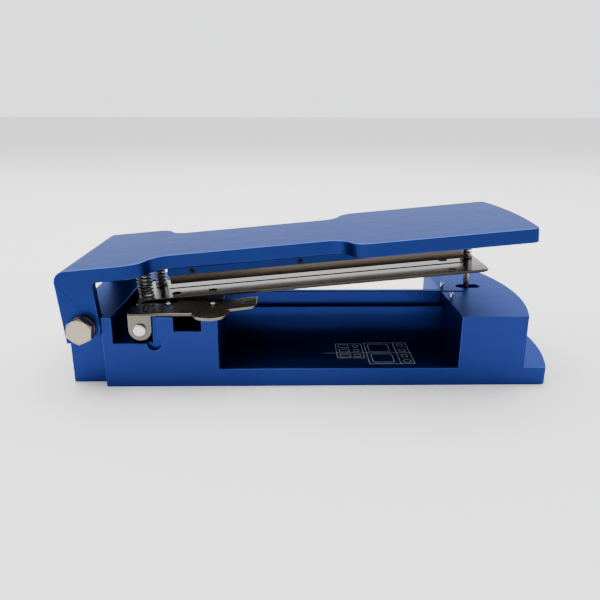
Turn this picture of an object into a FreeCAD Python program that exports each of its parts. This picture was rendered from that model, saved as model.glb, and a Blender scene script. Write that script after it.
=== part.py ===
import FreeCAD, Part
import math
import os
import Sketcher

# Bench hand seamer: a blue anodised base and hinged lever, with a blade that comes down
# through a spring-held presser plate, and a small gate that lies on the left block.
# Row frame: millimetres, +Z up, X along the tool from the pivot to the handle end,
# Y = 0 is the blade plane.  The origin is on the underside, below the lever's pivot.

SIZES = [
    # base block
    ("body_depth", 70.4), ("block_height", 29.0), ("flange_height", 7.4), ("block_start", 7.0),
    ("tail_length", 14.3), ("pocket_start", 51.9), ("pocket_length", 95.1), ("right_block_length", 32.2),
    ("block_arc_radius", 104.0), ("block_corner", 1.2), ("flange_reach", 9.4),
    ("flange_arc_radius", 101.0), ("flange_corner", 2.6),
    ("web_face", 0.2), ("web_thickness", 3.0), ("web_foot_front", 3.54), ("rabbet_depth", 6.0),
    ("rear_pocket_inset", 0.0), ("rear_pocket_stop", 0.0), ("rear_corner_radius", 3.0),
    ("cavity_start", 11.0), ("cavity_width", 15.0), ("cavity_depth", 10.65), ("cavity_back", 19.0),
    ("recess_width", 2.5), ("recess_depth", 2.0), ("relief_radius", 2.9), ("relief_offset", 1.0),
    ("notch_start", 34.8), ("notch_width", 10.7), ("notch_depth", 5.75), ("notch_reach", 20.0),
    # lever
    ("pivot_drop", 4.0), ("rest_angle", 5.2264), ("close_angle", 6.8), ("plate_top", 22.8),
    ("plate_thickness", 5.5), ("leg_back", 7.5), ("leg_front", 6.7), ("leg_drop", 6.0),
    ("leg_thickness", 4.5), ("leg_gap", 0.3), ("lever_setback", 0.7), ("lever_arc_radius", 250.0),
    ("lever_nose_radius", 4.5), ("lever_corner_radius", 2.0), ("lever_tip_radius", 3.0),
    ("waist_inset", 11.7), ("waist_start", 18.5), ("waist_run", 16.0), ("waist_stop", 33.5),
    # pivot
    ("bushing_bore", 3.55), ("bushing_outer", 4.3), ("bushing_flange_radius", 4.9),
    ("bushing_flange", 1.0), ("shoulder_radius", 3.5), ("thread_radius", 3.0),
    ("thread_length", 14.0), ("hex_flats", 9.4), ("hex_height", 4.0), ("hex_turn", 84),
    ("head_gap", 0.1),
    # blade and its holder
    ("holder_start", 33.0), ("holder_overrun", 0.6), ("holder_depth", 46.4),
    ("holder_thickness", 3.0), ("groove_depth", 2.5), ("blade_start", 28.4), ("blade_overrun", 9.4),
    ("blade_thickness", 1.0), ("blade_tip", 4.8), ("blade_gap", 0.05), ("bevel_height", 2.6),
    ("edge_flat", 0.17),
    ("slot_front", 1.3), ("slot_end_gap", 1.2), ("set_screw_radius", 1.1),
    ("set_screw_sink", 0.2), ("set_screw_start", 42.9), ("set_screw_pitch", 43.0),
    ("holder_screw_radius", 1.5),
    ("holder_screw_head", 2.8), ("holder_screw_grip", 4.0), ("holder_screw_offset", 12.0),
    # presser plate, guide posts and their springs
    ("rock_place", 28.0), ("presser_gap", 0.35), ("presser_thickness", 1.2),
    ("presser_left", 16.6), ("presser_overrun", 3.5), ("presser_depth", 29.6),
    ("presser_corner", 3.0), ("presser_slot_width", 1.7), ("guide_slot_reach", 1.4),
    ("post_line", 7.8), ("post_left", 22.4), ("post_inset", 13.1),
    ("post_radius", 1.25), ("post_grip", 4.0), ("post_hole_gap", 0.2), ("clip_radius", 2.5),
    ("clip_thickness", 0.6), ("clip_gap", 0.12), ("clip_slot", 1.6), ("clip_tail", 0.75),
    ("spring_outer", 2.8), ("spring_inner", 2.2), ("spring_gap", 0.06),
    ("stop_depth", 7.5), ("post_slot_shift", 0.9), ("post_slot_length", 11.0), ("post_slot_width", 5.8),
    ("post_well_length", 18.0), ("post_well_width", 9.6),
    # lift spring at the front left, round a stud in the lever
    ("lift_place", 20.3), ("lift_inset", 3.3), ("lift_outer", 3.2), ("lift_inner", 2.45),
    ("stud_radius", 1.9), ("stud_grip", 4.0), ("stud_length", 9.0),
    # gate and its hinge
    ("gate_thickness", 1.0), ("gate_gap", 0.3), ("gate_pin_place", 21.6), ("gate_pin_drop", 5.25),
    ("gate_start", 17.2), ("gate_left_end", 34.0), ("gate_bend", 55.0), ("gate_end", 66.6),
    ("gate_ramp_angle", 6.8), ("gate_front", 1.0), ("gate_step", 4.9), ("gate_step_place", 56.3),
    ("gate_tip_radius", 3.2), ("gate_corner_run", 2.0), ("gate_corner_depth", 5.0),
    ("ear_radius", 4.5), ("rear_ear_radius", 4.1), ("ear_gap", 0.3), ("gate_left_gap", 5.6),
    ("gate_to_presser", 0.5),
    ("lobe_place", 48.9), ("lobe_radius", 7.3), ("lobe_setback", 1.3),
    ("gate_pin_radius", 1.5), ("gate_pin_play", 0.05), ("gate_pin_head_radius", 2.4),
    ("gate_pin_head", 1.2), ("gate_pin_tail", 1.6), ("gate_ring_gap", 0.3),
    ("hinge_block_start", 18.8), ("hinge_block_width", 5.6), ("hinge_block_height", 8.8),
    ("hinge_screw_radius", 2.0), ("hinge_screw_head_radius", 3.5), ("hinge_screw_head", 4.0),
    ("hinge_screw_head_play", 0.3), ("hinge_screw_sink", 8.0), ("hinge_screw_grip", 3.0),
    # register pins
    ("tape_pin_radius", 1.0), ("tape_pin_height", 2.4), ("tape_pin_line", 22.0),
    ("tape_pin_left", 4.0), ("tape_pin_right", 3.2), ("tape_hole_play", 0.9),
    ("pin_radius", 0.75), ("pin_seat", 5.0), ("low_pin_height", 1.2), ("low_pin_line", 8.4),
    ("low_pin_left", 31.8), ("low_pin_right", 47.4), ("tall_pin_height", 2.6),
    ("tall_pin_inset", 1.9), ("tall_pin_rear", 5.9), ("tall_pin_front", 10.4),
    ("presser_hole_radius", 2.0),
]

doc = FreeCAD.newDocument("hand_seamer")
sheet = doc.addObject("Spreadsheet::Sheet", "sizes")
for row, (alias, number) in enumerate(SIZES, start=1):
    sheet.set("A%d" % row, alias)
    sheet.set("B%d" % row, str(number))
    sheet.setAlias("B%d" % row, alias)
doc.recompute()

UP = FreeCAD.Vector(0, 0, 1)
TILT_AXIS = FreeCAD.Vector(0, -1, 0)
LEAST_CUT = 0.01
NODES = []

# Places that several pieces share, as formulas on the sheet's cells.
FRONT = "(-sizes.body_depth / 2)"
PIVOT_Z = "(sizes.block_height - sizes.pivot_drop)"
UNDERSIDE = "(sizes.plate_top - sizes.plate_thickness)"
LEG_INNER = "(sizes.body_depth / 2 - sizes.leg_thickness)"
TAIL_SIDE = "(%s - sizes.leg_gap)" % LEG_INNER
BLADE_BACK = "(%s - sizes.holder_thickness + sizes.groove_depth)" % UNDERSIDE
POCKET_END = "(sizes.pocket_start + sizes.pocket_length)"
BLOCK_END = "(%s + sizes.right_block_length)" % POCKET_END
FLANGE_END = "(%s + sizes.flange_reach)" % BLOCK_END
LEVER_END = "(%s - sizes.lever_setback)" % BLOCK_END
WAIST_END = "(%s - sizes.waist_stop)" % POCKET_END
POST_RIGHT = "(%s + sizes.post_inset)" % POCKET_END
POSTS = {"left": "sizes.post_left", "right": POST_RIGHT}
CAVITY_END = "(sizes.cavity_start + sizes.cavity_width)"
CAVITY_FLOOR = "(sizes.block_height - sizes.cavity_depth)"
BLADE_END = "(%s + sizes.blade_overrun)" % POCKET_END
HOLDER_LENGTH = "(%s + sizes.holder_overrun - sizes.holder_start)" % BLADE_END
LIFT_LINE = "(-sizes.presser_depth / 2 + sizes.lift_inset)"
ROCK_Z = "(sizes.block_height + sizes.presser_gap)"
LEFT_OVER = "(sizes.close_angle - sizes.rest_angle)"
GATE_BOTTOM = "(sizes.block_height + sizes.gate_gap)"
GATE_PIN_Z = "(sizes.block_height - sizes.gate_pin_drop)"
GATE_FRONT = "(%s + sizes.gate_front)" % FRONT
GATE_LEFT_BACK = "(-sizes.presser_depth / 2 - sizes.gate_left_gap)"
GATE_BACK = "(-sizes.presser_depth / 2 - sizes.gate_to_presser)"
# The presser's lower and upper faces at rest, in the lever's own frame, at a place along it.
PRESSER_LOW = ("((%s - %s) * cos(sizes.rest_angle * 1deg) - sizes.rock_place * "
               "sin(sizes.rest_angle * 1deg))" % (ROCK_Z, PIVOT_Z))
PRESSER_TOP = "(%s + sizes.presser_thickness)" % PRESSER_LOW


def number(formula):
    return float(sheet.evalExpression(formula))


def bind(thing, properties):
    for name, formula in properties.items():
        thing.setExpression(name, formula)


def put(thing, frame):
    """Stand a finished piece in the base, in the open lever or in the resting presser."""
    if frame == "base":
        return
    thing.Placement = FreeCAD.Placement(FreeCAD.Vector(), FreeCAD.Rotation(TILT_AXIS, 1))
    places = {"lever": {"Placement.Base.z": PIVOT_Z},
              "presser": {"Placement.Base.x": "sizes.rock_place", "Placement.Base.z": ROCK_Z}}
    bind(thing, places[frame])
    thing.setExpression("Placement.Rotation.Angle", "sizes.rest_angle")


def node(thing, label, frame="base"):
    put(thing, frame)
    thing.Label = label
    NODES.append(thing)
    return thing


# Sketched bodies -------------------------------------------------------------------------

def outline(body, name, role, level, corners):
    """Sketch a closed outline.  A corner is (x, y) after a straight edge, or
    (x, y, radius, centre_x, centre_y, turn) after an arc that ends there."""
    plane = [f for f in body.Origin.OriginFeatures if f.Role == role][0]
    sketch = body.newObject("Sketcher::SketchObject", name)
    sketch.AttachmentSupport = [(plane, "")]
    sketch.MapMode = "FlatFace"
    sketch.setExpression("AttachmentOffset.Base.z", level)
    points = [FreeCAD.Vector(number(c[0]), number(c[1]), 0) for c in corners]
    count = len(corners)
    starts = []
    for i in range(count):
        begin, end, corner = points[i], points[(i + 1) % count], corners[(i + 1) % count]
        if len(corner) == 2:
            sketch.addGeometry(Part.LineSegment(begin, end), False)
            starts.append((1, 2))
            continue
        centre = FreeCAD.Vector(number(corner[3]), number(corner[4]), 0)
        first = math.atan2(begin.y - centre.y, begin.x - centre.x)
        last = math.atan2(end.y - centre.y, end.x - centre.x)
        left_turn = corner[5] == "left"
        if not left_turn:
            first, last = last, first
        circle = Part.Circle(centre, UP, number(corner[2]))
        sketch.addGeometry(Part.ArcOfCircle(circle, first, last), False)
        starts.append((1, 2) if left_turn else (2, 1))
    for i in range(count):
        following = (i + 1) % count
        sketch.addConstraint(Sketcher.Constraint("Coincident", i, starts[i][1],
                                                 following, starts[following][0]))
    for i, corner in enumerate(corners):
        for kind, formula in (("DistanceX", corner[0]), ("DistanceY", corner[1])):
            index = sketch.addConstraint(
                Sketcher.Constraint(kind, i, starts[i][0], number(formula)))
            sketch.setExpression("Constraints[%d]" % index, formula)
        if len(corner) > 2:
            arc = (i - 1) % count
            index = sketch.addConstraint(Sketcher.Constraint("Radius", arc, number(corner[2])))
            sketch.setExpression("Constraints[%d]" % index, corner[2])
    return sketch


def disc(body, name, role, level, x, y, radius):
    plane = [f for f in body.Origin.OriginFeatures if f.Role == role][0]
    sketch = body.newObject("Sketcher::SketchObject", name)
    sketch.AttachmentSupport = [(plane, "")]
    sketch.MapMode = "FlatFace"
    sketch.setExpression("AttachmentOffset.Base.z", level)
    centre = FreeCAD.Vector(number(x), number(y), 0)
    sketch.addGeometry(Part.Circle(centre, UP, number(radius)), False)
    for kind, place, formula in (("DistanceX", 3, x), ("DistanceY", 3, y)):
        index = sketch.addConstraint(Sketcher.Constraint(kind, 0, place, number(formula)))
        sketch.setExpression("Constraints[%d]" % index, formula)
    index = sketch.addConstraint(Sketcher.Constraint("Radius", 0, number(radius)))
    sketch.setExpression("Constraints[%d]" % index, radius)
    return sketch


def rectangle(x0, y0, x1, y1):
    return [(x0, y0), (x1, y0), (x1, y1), (x0, y1)]


def pad(body, sketch, length, back=False):
    feature = body.newObject("PartDesign::Pad", sketch.Name + "_pad")
    feature.Profile = sketch
    feature.Reversed = back
    feature.setExpression("Length", length)
    doc.recompute()
    return feature


def pocket(body, sketch, length, back=False):
    """Cut from the sketch against its normal, or along it when back is set."""
    before = body.Shape.Volume
    feature = body.newObject("PartDesign::Pocket", sketch.Name + "_cut")
    feature.Profile = sketch
    feature.Reversed = back
    feature.setExpression("Length", length)
    doc.recompute()
    if body.Shape.Volume > before - LEAST_CUT:
        raise ValueError("%s cuts nothing" % sketch.Name)
    return feature


def edges_where(shape, test):
    return ["Edge%d" % i for i, edge in enumerate(shape.Edges, start=1) if test(edge)]


def stands_at(edge, axis, places, reach=0.3):
    """True for a straight edge along one axis that passes near one of the (a, b) places."""
    first, last = edge.Vertexes[0].Point, edge.Vertexes[-1].Point
    others = [a for a in "xyz" if a != axis]
    if any(abs(getattr(first, a) - getattr(last, a)) > 0.001 for a in others):
        return False
    return any(abs(getattr(first, others[0]) - p) < reach and
               abs(getattr(first, others[1]) - q) < reach for p, q in places)


def round_edges(body, name, radius, axis, places):
    tip = body.Tip
    feature = body.newObject("PartDesign::Fillet", name)
    feature.Base = (tip, edges_where(tip.Shape, lambda e: stands_at(e, axis, places)))
    feature.setExpression("Radius", radius)
    doc.recompute()
    return feature


# Round and boxed solids ----------------------------------------------------------------

TURNS = {"up": FreeCAD.Rotation(), "back": FreeCAD.Rotation(FreeCAD.Vector(1, 0, 0), -90),
         "front": FreeCAD.Rotation(FreeCAD.Vector(1, 0, 0), 90)}


def at(thing, x, y, z, way="up"):
    thing.Placement = FreeCAD.Placement(FreeCAD.Vector(), TURNS[way])
    bind(thing, {"Placement.Base.x": x, "Placement.Base.y": y, "Placement.Base.z": z})
    return thing


def rod(name, radius, length, x, y, z, way="up"):
    thing = doc.addObject("Part::Cylinder", name)
    bind(thing, {"Radius": radius, "Height": length})
    return at(thing, x, y, z, way)


def ball(name, radius, x, y, z):
    thing = doc.addObject("Part::Sphere", name)
    thing.setExpression("Radius", radius)
    return at(thing, x, y, z)


def box(name, x0, y0, z0, length, width, height):
    thing = doc.addObject("Part::Box", name)
    bind(thing, {"Length": length, "Width": width, "Height": height})
    return at(thing, x0, y0, z0)


def hexagon(name, flats, length, x, y, z, way):
    thing = doc.addObject("Part::Prism", name)
    thing.Polygon = 6
    bind(thing, {"Circumradius": "%s / 2 / cos(30deg)" % flats, "Height": length})
    at(thing, x, y, z, way)
    thing.Placement.Rotation = TURNS[way].multiply(FreeCAD.Rotation(UP, number("sizes.hex_turn")))
    return thing


def fuse(name, pieces):
    thing = doc.addObject("Part::MultiFuse", name)
    thing.Shapes = pieces
    return thing


def cut(name, base, tool):
    thing = doc.addObject("Part::Cut", name)
    thing.Base = base
    thing.Tool = tool
    return thing


def group(name, pieces):
    thing = doc.addObject("Part::Compound", name)
    thing.Links = pieces
    return thing


# Base ------------------------------------------------------------------------------------

def make_base_block():
    body = doc.addObject("PartDesign::Body", "base_block")
    half = "sizes.body_depth / 2"
    flange_sag = ("(sizes.flange_arc_radius - sqrt(sizes.flange_arc_radius ^ 2 - "
                  "(sizes.body_depth / 2) ^ 2))")
    block_sag = flange_sag.replace("flange", "block")
    flange_side = "%s - %s" % (FLANGE_END, flange_sag)
    block_side = "%s - %s" % (BLOCK_END, block_sag)
    flange_centre = "%s - sizes.flange_arc_radius" % FLANGE_END
    block_centre = "%s - sizes.block_arc_radius" % BLOCK_END

    flange = outline(body, "flange", "XY_Plane", "0", [
        ("sizes.block_start", FRONT), (flange_side, FRONT),
        (flange_side, half, "sizes.flange_arc_radius", flange_centre, "0", "left"),
        ("sizes.block_start", half)])
    pad(body, flange, "sizes.flange_height")
    blocks = outline(body, "blocks", "XY_Plane", "sizes.flange_height", [
        ("sizes.block_start", FRONT), (block_side, FRONT),
        (block_side, half, "sizes.block_arc_radius", block_centre, "0", "left"),
        ("sizes.block_start", half)])
    pad(body, blocks, "sizes.block_height - sizes.flange_height")
    tail_end = "sizes.block_start - sizes.tail_length"
    tail = outline(body, "tail", "XY_Plane", "0", rectangle(
        tail_end, "-" + TAIL_SIDE, "sizes.block_start", TAIL_SIDE))
    pad(body, tail, "sizes.block_height")

    above_flange = "sizes.block_height - sizes.flange_height"
    front_pocket = outline(body, "front_pocket", "XY_Plane", "sizes.block_height", rectangle(
        "sizes.pocket_start", FRONT, POCKET_END, "-sizes.web_foot_front"))
    pocket(body, front_pocket, above_flange)
    rabbet = outline(body, "rabbet", "XY_Plane", "sizes.block_height", rectangle(
        "sizes.pocket_start", "-sizes.web_foot_front", POCKET_END, "sizes.web_face"))
    pocket(body, rabbet, "sizes.rabbet_depth")
    blade_slot = outline(body, "blade_slot", "XY_Plane", "sizes.block_height", rectangle(
        CAVITY_END, "-sizes.slot_front", BLADE_END + " + sizes.slot_end_gap", "sizes.web_face"))
    pocket(body, blade_slot, "sizes.rabbet_depth")

    web_back = "sizes.web_face + sizes.web_thickness"
    rear_start = "(sizes.pocket_start + sizes.rear_pocket_inset)"
    rear_end = "(%s - sizes.rear_pocket_stop)" % POCKET_END
    rear_pocket = outline(body, "rear_pocket", "XY_Plane", "sizes.block_height", [
        (rear_start, half),
        (rear_start, web_back + " + sizes.rear_corner_radius"),
        (rear_start + " + sizes.rear_corner_radius", web_back, "sizes.rear_corner_radius",
         rear_start + " + sizes.rear_corner_radius", web_back + " + sizes.rear_corner_radius",
         "left"),
        (rear_end + " - sizes.rear_corner_radius", web_back),
        (rear_end, web_back + " + sizes.rear_corner_radius", "sizes.rear_corner_radius",
         rear_end + " - sizes.rear_corner_radius", web_back + " + sizes.rear_corner_radius",
         "left"),
        (rear_end, half)])
    pocket(body, rear_pocket, above_flange)

    cavity = outline(body, "cavity", "XY_Plane", "sizes.block_height", rectangle(
        "sizes.cavity_start", FRONT, CAVITY_END, "sizes.cavity_back"))
    pocket(body, cavity, "sizes.cavity_depth")
    recess = outline(body, "recess", "XY_Plane", "sizes.block_height", rectangle(
        CAVITY_END, FRONT, CAVITY_END + " + sizes.recess_width", FRONT + " + sizes.recess_depth"))
    pocket(body, recess, "sizes.cavity_depth")
    relief = disc(body, "relief", "XZ_Plane", "sizes.body_depth / 2",
                  CAVITY_END + " + sizes.relief_offset", CAVITY_FLOOR, "sizes.relief_radius")
    pocket(body, relief, "sizes.recess_depth")
    notch = outline(body, "notch", "XY_Plane", "sizes.block_height", rectangle(
        "sizes.notch_start", FRONT, "sizes.notch_start + sizes.notch_width",
        FRONT + " + sizes.notch_reach"))
    pocket(body, notch, "sizes.notch_depth")

    post_slot = outline(body, "post_slot", "XY_Plane", "sizes.block_height",
                        long_hole(POST_RIGHT + " + sizes.post_slot_shift", "sizes.post_line",
                                  "sizes.post_slot_length", "sizes.post_slot_width"))
    pocket(body, post_slot, "sizes.stop_depth")
    post_well = outline(body, "post_well", "XY_Plane", "0",
                        long_hole(POST_RIGHT + " + sizes.post_slot_shift", "sizes.post_line",
                                  "sizes.post_well_length", "sizes.post_well_width"))
    pocket(body, post_well, "sizes.block_height - sizes.stop_depth", back=True)

    for name, x, y in pin_places():
        radius = "sizes.tape_pin_radius" if name.startswith("tape") else "sizes.pin_radius"
        seat = disc(body, name + "_seat", "XY_Plane", "sizes.block_height", x, y, radius)
        pocket(body, seat, "sizes.pin_seat")
    x, y = hinge_screw_place()
    screw_hole = disc(body, "hinge_screw_hole", "XY_Plane", "0", x, y, "sizes.hinge_screw_radius")
    pocket(body, screw_hole, CAVITY_FLOOR, back=True)
    head_hole = disc(body, "hinge_screw_sink", "XY_Plane", "0", x, y,
                     "sizes.hinge_screw_head_radius + sizes.hinge_screw_head_play")
    pocket(body, head_hole, "sizes.hinge_screw_sink", back=True)
    front_thread = disc(body, "front_thread", "XZ_Plane", TAIL_SIDE, "0", PIVOT_Z,
                        "sizes.thread_radius")
    pocket(body, front_thread, "sizes.thread_length")
    rear_thread = disc(body, "rear_thread", "XZ_Plane", "-" + TAIL_SIDE, "0", PIVOT_Z,
                       "sizes.thread_radius")
    pocket(body, rear_thread, "sizes.thread_length", back=True)
    front = number("sizes.body_depth / 2")
    for name, radius, corner in (("flange_corners", "sizes.flange_corner", flange_side),
                                 ("block_corners", "sizes.block_corner", block_side)):
        place = number(corner)
        round_edges(body, name, radius, "z", [(place, -front), (place, front)])
    return node(body, "base_block")


def long_hole(x, y, length, width):
    """Outline of a hole with round ends, long along X."""
    near = "%s - %s / 2 + %s / 2" % (x, length, width)
    far = "%s + %s / 2 - %s / 2" % (x, length, width)
    low = "%s - %s / 2" % (y, width)
    high = "%s + %s / 2" % (y, width)
    round_end = "%s / 2" % width
    return [(near, low, round_end, near, y, "left"), (far, low),
            ("%s + %s" % (far, round_end), y, round_end, far, y, "left"),
            (far, high, round_end, far, y, "left"), (near, high),
            ("%s - %s" % (near, round_end), y, round_end, near, y, "left")]


def pin_places():
    return [
        ("tape_pin_a", "sizes.notch_start - sizes.tape_pin_left", "-sizes.tape_pin_line"),
        ("tape_pin_b", "sizes.notch_start + sizes.notch_width + sizes.tape_pin_right",
         "-sizes.tape_pin_line"),
        ("low_pin_a", "sizes.low_pin_left", "-sizes.low_pin_line"),
        ("low_pin_b", "sizes.low_pin_right", "-sizes.low_pin_line"),
        ("tall_pin_a", POCKET_END + " + sizes.tall_pin_inset", "-sizes.tall_pin_front"),
        ("tall_pin_b", POCKET_END + " + sizes.tall_pin_inset", "sizes.tall_pin_rear"),
    ]


def make_pins():
    heights = {"tape": ("sizes.tape_pin_radius", "sizes.tape_pin_height"),
               "low_": ("sizes.pin_radius", "sizes.low_pin_height"),
               "tall": ("sizes.pin_radius", "sizes.tall_pin_height")}
    labels = {"tape": "gate_register_pins", "low_": "left_register_pins",
              "tall": "right_register_pins"}
    for kind, (radius, height) in heights.items():
        pins = []
        for name, x, y in pin_places():
            if not name.startswith(kind):
                continue
            shank = rod(name + "_shank", radius, "sizes.pin_seat + %s - %s" % (height, radius),
                        x, y, "sizes.block_height - sizes.pin_seat")
            dome = ball(name + "_dome", radius, x, y, "sizes.block_height + %s - %s"
                        % (height, radius))
            pins.append(fuse(name, [shank, dome]))
        node(group(labels[kind] + "_group", pins), labels[kind])


# Lever -----------------------------------------------------------------------------------

def make_lever_arm():
    """Plan outline with a narrower waist, thick plate, and a leg down each side."""
    body = doc.addObject("PartDesign::Body", "lever_arm")
    half = "sizes.body_depth / 2"
    waist = "(sizes.body_depth / 2 - sizes.waist_inset)"
    swing = "((sizes.waist_run ^ 2 + sizes.waist_inset ^ 2) / (4 * sizes.waist_inset))"
    left_middle = "(sizes.waist_start + sizes.waist_run / 2)"
    left_end = "(sizes.waist_start + sizes.waist_run)"
    right_start = "(%s - sizes.waist_run)" % WAIST_END
    right_middle = "(%s - sizes.waist_run / 2)" % WAIST_END
    step = "(sizes.body_depth / 2 - sizes.waist_inset / 2)"
    sag = ("(sizes.lever_arc_radius - sqrt(sizes.lever_arc_radius ^ 2 - "
           "(sizes.body_depth / 2) ^ 2))")
    tip_side = "%s - %s" % (LEVER_END, sag)
    tip_centre = "%s - sizes.lever_arc_radius" % LEVER_END
    outer = "(%s - %s)" % (half, swing)
    inner = "(%s + %s)" % (waist, swing)
    plan = outline(body, "plan", "XY_Plane", UNDERSIDE, [
        ("-sizes.leg_back", FRONT), ("sizes.waist_start", FRONT),
        (left_middle, "-" + step, swing, "sizes.waist_start", "-" + outer, "left"),
        (left_end, "-" + waist, swing, left_end, "-" + inner, "right"),
        (right_start, "-" + waist),
        (right_middle, "-" + step, swing, right_start, "-" + inner, "right"),
        (WAIST_END, FRONT, swing, WAIST_END, "-" + outer, "left"),
        (tip_side, FRONT),
        (tip_side, half, "sizes.lever_arc_radius", tip_centre, "0", "left"),
        (WAIST_END, half),
        (right_middle, step, swing, WAIST_END, outer, "left"),
        (right_start, waist, swing, right_start, inner, "right"),
        (left_end, waist),
        (left_middle, step, swing, left_end, inner, "right"),
        ("sizes.waist_start", half, swing, "sizes.waist_start", outer, "left"),
        ("-sizes.leg_back", half)])
    pad(body, plan, "sizes.plate_thickness")
    for side, level, back in (("front", "sizes.body_depth / 2", True),
                              ("rear", "-sizes.body_depth / 2", False)):
        leg = outline(body, side + "_leg", "XZ_Plane", level, [
            ("-sizes.leg_back", "-sizes.leg_drop"), ("sizes.leg_front - sizes.leg_drop",
                                                     "-sizes.leg_drop"),
            ("sizes.leg_front", "0", "sizes.leg_drop", "sizes.leg_front - sizes.leg_drop", "0",
             "left"),
            ("sizes.leg_front", UNDERSIDE), ("-sizes.leg_back", UNDERSIDE)])
        pad(body, leg, "sizes.leg_thickness", back=back)
    bore = disc(body, "bushing_bores", "XZ_Plane", "sizes.body_depth / 2", "0", "0",
                "sizes.bushing_outer")
    pocket(body, bore, "sizes.body_depth")
    for side, x in POSTS.items():
        hole = disc(body, "post_hole_" + side, "XY_Plane", UNDERSIDE, x, "sizes.post_line",
                    "sizes.post_radius")
        pocket(body, hole, "sizes.post_grip", back=True)
    stud_hole = disc(body, "stud_hole", "XY_Plane", UNDERSIDE, "sizes.lift_place", LIFT_LINE,
                     "sizes.stud_radius")
    pocket(body, stud_hole, "sizes.stud_grip", back=True)
    for i, (x, y) in enumerate(holder_screw_places()):
        hole = disc(body, "holder_thread_%d" % i, "XY_Plane", UNDERSIDE, x, y,
                    "sizes.holder_screw_radius")
        pocket(body, hole, "sizes.holder_screw_grip", back=True)
    top = number("sizes.plate_top")
    back_face = number("-sizes.leg_back")
    front = number("sizes.body_depth / 2")
    round_edges(body, "nose_round", "sizes.lever_nose_radius", "y", [(back_face, top)])
    tip_x = number(tip_side)
    round_edges(body, "tip_corners", "sizes.lever_tip_radius", "z",
                [(tip_x, -front), (tip_x, front)])
    window = (number("sizes.leg_front"), number(UNDERSIDE))
    round_edges(body, "window_corners", "sizes.lever_corner_radius", "y", [window])
    return node(body, "lever_arm", "lever")


def make_pivots():
    """A flanged bronze bushing in each leg turns on a shoulder screw in the tail."""
    bushings = {}
    for side, sign, way in (("front", "-", "front"), ("rear", "", "back")):
        inner_face = sign + LEG_INNER
        outer_face = "%s(sizes.body_depth / 2)" % sign
        sleeve = rod(side + "_sleeve", "sizes.bushing_outer", "sizes.leg_thickness",
                     "0", inner_face, "0", way)
        flange = rod(side + "_flange", "sizes.bushing_flange_radius", "sizes.bushing_flange",
                     "0", outer_face, "0", way)
        bore = rod(side + "_bore", "sizes.bushing_bore",
                   "sizes.leg_thickness + sizes.bushing_flange", "0", inner_face, "0", way)
        solid = fuse(side + "_bushing_solid", [sleeve, flange])
        bushings[side] = cut(side + "_bushing", solid, bore)
        node(bushings[side], "pivot_bushing_" + side, "lever")

        tail_face = sign + TAIL_SIDE
        shoulder_length = ("sizes.leg_gap + sizes.leg_thickness + sizes.bushing_flange + "
                           "sizes.head_gap")
        step = "-" if sign else "+"
        shoulder = rod(side + "_shoulder", "sizes.shoulder_radius", shoulder_length,
                       "0", tail_face, PIVOT_Z, way)
        thread = rod(side + "_thread", "sizes.thread_radius", "sizes.thread_length", "0",
                     "%s %s sizes.thread_length" % (tail_face, "+" if sign else "-"), PIVOT_Z, way)
        head = hexagon(side + "_head", "sizes.hex_flats", "sizes.hex_height", "0",
                       "%s %s (%s)" % (tail_face, step, shoulder_length), PIVOT_Z, way)
        node(fuse(side + "_screw", [thread, shoulder, head]), "pivot_screw_" + side)


def holder_screw_places():
    places = []
    for share in ("sizes.holder_start + %s / 6" % HOLDER_LENGTH,
                  "sizes.holder_start + %s * 5 / 6" % HOLDER_LENGTH):
        for sign in ("-", ""):
            places.append((share, sign + "sizes.holder_screw_offset"))
    return places


def make_blade_holder():
    body = doc.addObject("PartDesign::Body", "blade_holder")
    low = "%s - sizes.holder_thickness" % UNDERSIDE
    plan = outline(body, "holder_plan", "XY_Plane", low, rectangle(
        "sizes.holder_start", "-sizes.holder_depth / 2",
        "sizes.holder_start + " + HOLDER_LENGTH, "sizes.holder_depth / 2"))
    pad(body, plan, "sizes.holder_thickness")
    groove = outline(body, "blade_groove", "XY_Plane", low, rectangle(
        "sizes.holder_start", "-sizes.blade_thickness - sizes.blade_gap",
        "sizes.holder_start + " + HOLDER_LENGTH, "sizes.blade_gap"))
    pocket(body, groove, "sizes.groove_depth", back=True)
    for i in range(3):
        hole = disc(body, "set_screw_hole_%d" % i, "XZ_Plane", "sizes.holder_depth / 2",
                    set_screw_place(i), "%s - sizes.holder_thickness / 2" % UNDERSIDE,
                    "sizes.set_screw_radius")
        pocket(body, hole, "sizes.holder_depth / 2 - sizes.blade_thickness")
    for i, (x, y) in enumerate(holder_screw_places()):
        hole = disc(body, "holder_hole_%d" % i, "XY_Plane", low, x, y,
                    "sizes.holder_screw_head")
        pocket(body, hole, "sizes.holder_thickness", back=True)
    return node(body, "blade_holder", "lever")


def set_screw_place(i):
    return "sizes.set_screw_start + %d * sizes.set_screw_pitch" % i


def make_holder_screws():
    low = "%s - sizes.holder_thickness" % UNDERSIDE
    screws = []
    for i, (x, y) in enumerate(holder_screw_places()):
        head = rod("holder_head_%d" % i, "sizes.holder_screw_head", "sizes.holder_thickness",
                   x, y, low)
        shank = rod("holder_shank_%d" % i, "sizes.holder_screw_radius",
                    "sizes.holder_thickness + sizes.holder_screw_grip", x, y, low)
        screws.append(fuse("holder_screw_%d" % i, [head, shank]))
    node(group("holder_screw_group", screws), "holder_screws", "lever")
    set_screws = []
    for i in range(3):
        set_screws.append(rod("set_screw_%d" % i, "sizes.set_screw_radius",
                              "sizes.holder_depth / 2 - sizes.blade_thickness - sizes.blade_gap"
                              " - sizes.set_screw_sink", set_screw_place(i),
                              "-sizes.holder_depth / 2 + sizes.set_screw_sink",
                              "%s - sizes.holder_thickness / 2" % UNDERSIDE, "back"))
    node(group("set_screw_group", set_screws), "blade_set_screws", "lever")


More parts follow.
